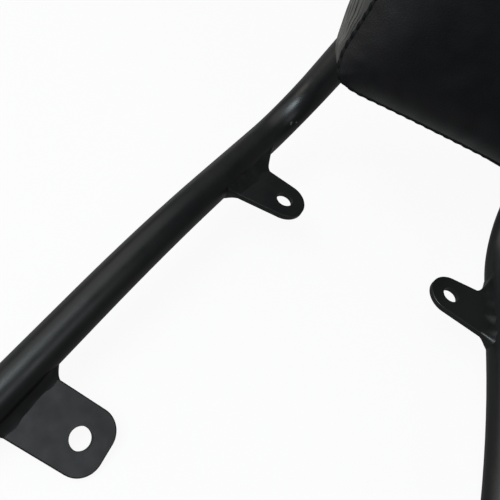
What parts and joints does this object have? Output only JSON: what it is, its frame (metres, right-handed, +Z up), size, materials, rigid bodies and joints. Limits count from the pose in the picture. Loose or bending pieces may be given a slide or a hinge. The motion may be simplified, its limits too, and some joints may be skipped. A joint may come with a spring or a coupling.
{
  "type": "sissy bar with cushion",
  "caption": "Bent-tube motorbike backrest hoop with splayed legs, welded bolt tabs and a padded leatherette cushion bolted to its front.",
  "frame": {"origin": "midway between the two rear bolt holes, on the underside of their tabs", "axes": "+X across the bike, +Y to its rear, +Z up along the rear bolt holes"},
  "size_m": [0.3148, 0.3471, 0.3054],
  "materials": {
    "powder_coat_black": "matte",
    "leatherette_smooth": "satin",
    "leatherette_ribbed": "satin",
    "foam": "matte",
    "board_plastic": "matte",
    "plug_plastic": "matte",
    "zinc_plate": "satin"
  },
  "bodies": {
    "root": {"hoop_tube": "powder_coat_black", "rear_tab_left": "powder_coat_black", "rear_tab_right": "powder_coat_black", "front_tab_left": "powder_coat_black", "front_tab_right": "powder_coat_black", "rear_weld_left": "powder_coat_black", "rear_weld_right": "powder_coat_black", "front_weld_left": "powder_coat_black", "front_weld_right": "powder_coat_black", "lower_cross_strap": "powder_coat_black", "upper_cross_strap": "powder_coat_black", "strap_welds": "powder_coat_black", "tube_plug_left": "plug_plastic", "tube_plug_right": "plug_plastic", "cushion_base_board": "board_plastic", "cushion_foam": "foam", "cushion_side_band": "leatherette_ribbed", "cushion_front_panel": "leatherette_smooth", "cushion_tee_nuts": "zinc_plate", "cushion_washers": "zinc_plate", "cushion_bolts": "zinc_plate"}
  },
  "joints": []
}
